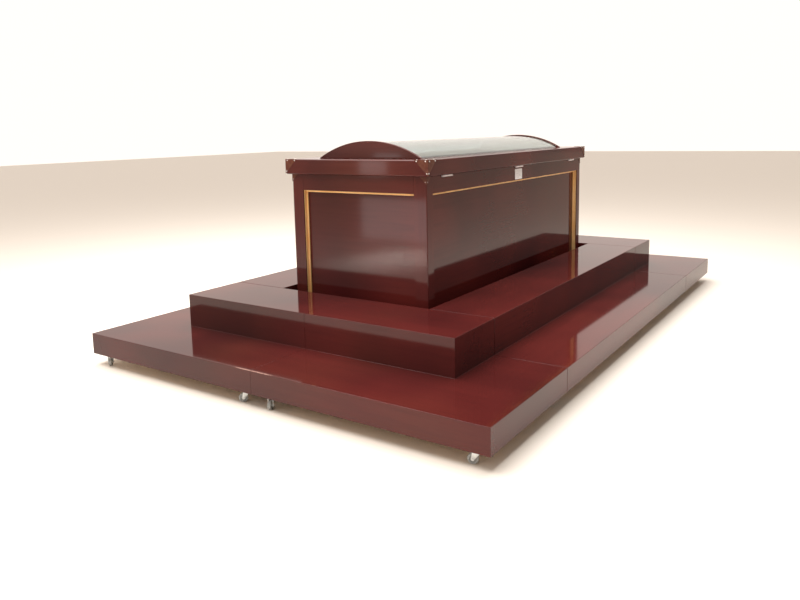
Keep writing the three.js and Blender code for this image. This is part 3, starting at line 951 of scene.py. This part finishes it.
# %% Hinges
KNUCKLE_RADIUS = 5 * MM
PIN_RADIUS = 2.5 * MM
BORE_RADIUS = 2.9 * MM
KNUCKLES = 5
LEAF_THICKNESS = 2.2 * MM
LEAF_GAP = 0.3 * MM
LEAF_RELIEF = 0.7 * MM
LEAF_EDGE = 0.5 * MM
STRAP_EDGE = 0.4 * MM
PIN_HEAD = ((-1.2 * MM, 2.2 * MM), (-1.0 * MM, 3.4 * MM), (0.2 * MM, 3.4 * MM), (0.2 * MM, PIN_RADIUS))
SCREW_RADIUS = 3.6 * MM
SCREW_HEIGHT = 0.35 * MM
SCREW_SHARES = (0.14, 0.5, 0.86)
SCREW_ROWS = ((0.32, -0.03), (0.74, 0.03))
HINGE_PLACE = frame["joints"][0]["pos_m"]


def ring_of(outer, inner, start, end, chamfer):
    """A tube's section: its outer and inner radius, with the outer edges chamfered."""
    return [(start, inner), (start, outer - chamfer), (start + chamfer, outer),
            (end - chamfer, outer), (end, outer - chamfer), (end, inner)]


def add_leaf(name, body, first_knuckle, with_pin, screw_side):
    """A leaf, every other knuckle with the strap that joins it, the pin, and two rows of screws."""
    node = f"hinge_{name}_box_leaf" if with_pin else f"hinge_{name}_lid_leaf"
    low, high = (np.array(v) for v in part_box(node))
    x0 = low[0] if with_pin else high[0] - LEAF_THICKNESS
    x1 = x0 + LEAF_THICKNESS
    axis_x, _, axis_z = HINGE_PLACE
    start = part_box(f"hinge_{name}_box_leaf")[0][1]
    pitch = (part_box(f"hinge_{name}_box_leaf")[1][1] - start) / KNUCKLES
    plate_low = axis_z + KNUCKLE_RADIUS + LEAF_RELIEF
    length = KNUCKLES * pitch
    shell = Shell().grid(rounded_board((x0, start, plate_low), (x1, start + length, high[2]), LEAF_EDGE))
    for k in range(first_knuckle, KNUCKLES, 2):
        y0, y1 = start + k * pitch + LEAF_GAP, start + (k + 1) * pitch - LEAF_GAP
        ring = ring_of(KNUCKLE_RADIUS, BORE_RADIUS, 0, y1 - y0, LEAF_EDGE)
        shell.grid(turned(ring, (axis_x, y0, axis_z), (0, 1, 0)), ring=True)
        shell.grid(rounded_board((x0, y0, axis_z), (x1, y1, plate_low + LEAF_EDGE), STRAP_EDGE))
    if with_pin:
        tail = tuple((length - s, r) for s, r in PIN_HEAD[::-1])
        shell.grid(turned(PIN_HEAD + tail, (axis_x, start, axis_z), (0, 1, 0)))
    outside = x1 if screw_side > 0 else x0
    for share in SCREW_SHARES:
        for height, stagger in SCREW_ROWS:
            foot = (outside, start + (share + stagger) * length, plate_low + height * (high[2] - plate_low))
            shell.grid(dome(foot, (screw_side, 0, 0), SCREW_RADIUS, SCREW_HEIGHT, 16), finish=1)
    finish_piece(node + "_knuckled", shell.mesh(node), [hinge_steel, nail_steel], body, [node],
                 weighted=False)


for name in ("front", "middle", "back"):
    add_leaf(name, BASE, 0, True, 1)
    add_leaf(name, LID, 1, False, -1)
print("hinges: 3, with", KNUCKLES, "knuckles each")

# %% [markdown]
# The tag is a white card under the middle hinge. What is printed on a real one isn't copied: rows
# of short grey strokes stand for print. They are colour only, so they follow the card's own plane,
# which is Y across and Z up.

# %% Tag
TAG_ROWS = 6
tag_low, tag_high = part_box("tag")
TAG_ROW_PITCH = (tag_high[2] - tag_low[2]) / (TAG_ROWS + 2)
STROKE_FOOT, STROKE_TOP = 0.35 * TAG_ROW_PITCH, 0.62 * TAG_ROW_PITCH
ROW_REACH = 0.42 * (tag_high[1] - tag_low[1])
TAG_CORNER = 4 * MM
TAG_EDGE = 0.3 * MM


def tag_card():
    finish = new_finish("tag_card", Roughness=0.45)
    along, up = finish.axis("y"), finish.axis("z") - tag_low[2]
    row = ((up % TAG_ROW_PITCH) > STROKE_FOOT) * ((up % TAG_ROW_PITCH) < STROKE_TOP)
    inside = (abs(along) < ROW_REACH) * (up > TAG_ROW_PITCH)
    inside = inside * (up < (TAG_ROWS + 1) * TAG_ROW_PITCH)
    broken = finish.noise(1.0, (1, 260, 90), detail=1.0).fade(0.44, 0.5)
    stain = finish.noise(40.0, detail=3.0)
    colour = finish.mix(stain.fade(0.4, 0.8) * 0.25, (0.95, 0.93, 0.93), (0.84, 0.80, 0.80))
    colour = finish.mix(row * inside * broken * 0.75, colour, (0.12, 0.11, 0.13))
    finish.set(Base_Color=colour)
    return finish.owner


outline = rounded_outline((tag_low[1], tag_low[2]), (tag_high[1], tag_high[2]), TAG_CORNER)
card = plate(outline, tag_high[0] - tag_low[0], TAG_EDGE)
grid = placed(card, (0, 1, 0), (0, 0, 1), (tag_low[0], 0, 0))
finish_piece("tag_card", Shell().grid(grid).mesh("tag"), [tag_card()], BASE, ["tag"])
print("tag:", TAG_ROWS, "rows of strokes")

# %% [markdown]
# Under each dais unit is a plywood base board with a swivel castor near each corner. Only the front
# ones show, as small bright shapes in the dark gap above the floor, each turned its own way. The
# solids hold board and castors in one, so the new pieces between them replace it.

# %% Outlines of a castor
WHEEL_RADIUS = 21 * MM
WHEEL_WIDTH = 17 * MM
TREAD_ROUND = 3 * MM
CASTOR_TRAIL = 13 * MM
CASTOR_PLATE = 52 * MM
CASTOR_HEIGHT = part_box("dais_side_right")[0][2]
FORK_TOP = CASTOR_HEIGHT - 11.5 * MM
FORK_FRONT, FORK_BACK = -15 * MM, 16 * MM
AXLE_EYE = 7 * MM


def wheel_profile():
    """Half of a wheel's section and its mirror image: a boss, a sunk web, a rim and a rounded tread."""
    half, tread = WHEEL_WIDTH / 2, WHEEL_RADIUS
    turn = np.linspace(0, math.pi / 2, 5)
    shoulder = np.column_stack([half - TREAD_ROUND + TREAD_ROUND * np.cos(turn),
                                tread - TREAD_ROUND + TREAD_ROUND * np.sin(turn)])
    web = [[half + 2 * MM, 4 * MM], [half + 2 * MM, 6.5 * MM], [half - 3 * MM, 7.5 * MM],
           [half - 3 * MM, 13 * MM], [half - 0.6 * MM, 14 * MM]]
    side = np.concatenate([web, shoulder])
    return np.concatenate([side, side[::-1] * [-1, 1]])


def cheek_outline():
    """The fork's side, in steps along the trail and up: wide at the crown, round about the axle."""
    angle = np.linspace(math.pi, 2 * math.pi, 9)
    low = np.column_stack([CASTOR_TRAIL + AXLE_EYE * np.cos(angle),
                           WHEEL_RADIUS + AXLE_EYE * np.sin(angle)])
    top = FORK_TOP - 0.5 * MM
    crown = [[FORK_BACK, top - 5 * MM], [15 * MM, top], [-14 * MM, top], [FORK_FRONT, top - 4 * MM]]
    return np.concatenate([low, crown])


print("wheel:", len(wheel_profile()), "points; cheek:", len(cheek_outline()), "points")

# %% [markdown]
# A castor is made in two shells, because its plate stays square to the board while all that is
# below the ball race swivels. Both are made once, and every castor is a copy of them.

# %% Castor
SHEET_METAL = 2.5 * MM
BOLT_SHARE = 0.36
BOLT_HEAD_RADIUS = 4.2 * MM
BOLT_HEAD_HEIGHT = 2 * MM
BALL_RACE = ((0, 13), (1.5, 17), (4.5, 18.5), (5, 16), (6, 19), (9, 20))
AXLE_BOLT = ((-1, 3), (-1, 5), (2.2, 5), (2.2, 2.8), (26.8, 2.8), (26.8, 4.6), (30, 4.6), (30, 3))


def castor_top():
    """The plate and its four bolts, square to the board that they are screwed to."""
    shell = Shell()
    half = CASTOR_PLATE / 2
    outline = rounded_outline((-half, -half), (half, half), 6 * MM)
    shell.grid(plate(outline, SHEET_METAL, 0.6 * MM) + [0, 0, CASTOR_HEIGHT - SHEET_METAL])
    reach = BOLT_SHARE * CASTOR_PLATE
    for x in (-reach, reach):
        for y in (-reach, reach):
            foot = (x, y, CASTOR_HEIGHT - SHEET_METAL)
            shell.grid(dome(foot, (0, 0, -1), BOLT_HEAD_RADIUS, BOLT_HEAD_HEIGHT, 6))
    return shell


def castor_fork():
    """What swivels about the Z axis: ball race, fork and axle, with the wheel trailing along +Y."""
    shell = Shell()
    race = [(s * MM, r * MM) for s, r in BALL_RACE]
    shell.grid(turned(race, (0, 0, FORK_TOP), (0, 0, 1), 32))
    inside = WHEEL_WIDTH / 2 + SHEET_METAL
    reach = inside + SHEET_METAL
    crown = rounded_outline((-reach, FORK_FRONT), (reach, FORK_BACK), 5 * MM)
    shell.grid(plate(crown, SHEET_METAL, 0.8 * MM) + [0, 0, FORK_TOP - SHEET_METAL])
    for x in (-reach, inside):
        shell.grid(placed(plate(cheek_outline(), SHEET_METAL, 0.5 * MM), (0, 1, 0), (0, 0, 1), (x, 0, 0)))
    bolt = [(s * MM - 3 * MM, r * MM) for s, r in AXLE_BOLT]
    shell.grid(turned(bolt, (-reach + 0.8 * MM, CASTOR_TRAIL, WHEEL_RADIUS), (1, 0, 0), 6))
    shell.grid(turned(wheel_profile(), (0, CASTOR_TRAIL, WHEEL_RADIUS), (-1, 0, 0), 40), finish=1)
    return shell


top, fork = castor_top(), castor_fork()
print("castor:", len(top.faces) + len(fork.faces), "faces")

# %% [markdown]
# A castor stands near each corner of a unit. They trail every way, because the units were pushed
# about before they were parked.

# %% Castors in place
CASTOR_INSET_ACROSS = 80 * MM
CASTOR_INSET_ALONG = 48 * MM
CASTOR_TURN_STEP = 2.4
END_UNIT_TURN = 3.65
END_UNIT_TURN_STEP = 0.25
BASE_BOARD_EDGE = 0.8 * MM


def castor_mesh(name, x, y, turn):
    """The top as it is and the fork turned, both moved to their place."""
    shell = Shell()
    shell.points = np.concatenate([top.points, fork.points @ turned_about_z(turn).T]) + [x, y, 0]
    shell.faces = top.faces + [[len(top.points) + i for i in face] for face in fork.faces]
    shell.finishes = top.finishes + fork.finishes
    return shell.mesh(name)


for unit in UNITS:
    node = f"dais_{unit}_castor_board"
    low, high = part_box("dais_" + unit)
    inner_low, inner_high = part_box(node)
    grid = rounded_board((inner_low[0], inner_low[1], CASTOR_HEIGHT), inner_high, BASE_BOARD_EDGE)
    finish_piece(f"base_board_{unit}", Shell().grid(grid).mesh(node), [ply], BASE, [node])
    end, side = unit.split("_")
    across = -1 if side == "left" else 1
    turn = 0 if end == "side" else END_UNIT_TURN - END_UNIT_TURN_STEP * across
    places = [(x, y) for x in (low[0] + CASTOR_INSET_ACROSS, high[0] - CASTOR_INSET_ACROSS)
              for y in (low[1] + CASTOR_INSET_ALONG, high[1] - CASTOR_INSET_ALONG)]
    for number, (x, y) in enumerate(places, 1):
        name = f"castor_{unit}_{number}"
        finish_piece(name, castor_mesh(name, x, y, turn), [zinc, plastic], BASE, [node],
                     weighted=False)
        turn += CASTOR_TURN_STEP

# %% [markdown]
# The visual model must stay inside the box that the solids fill.
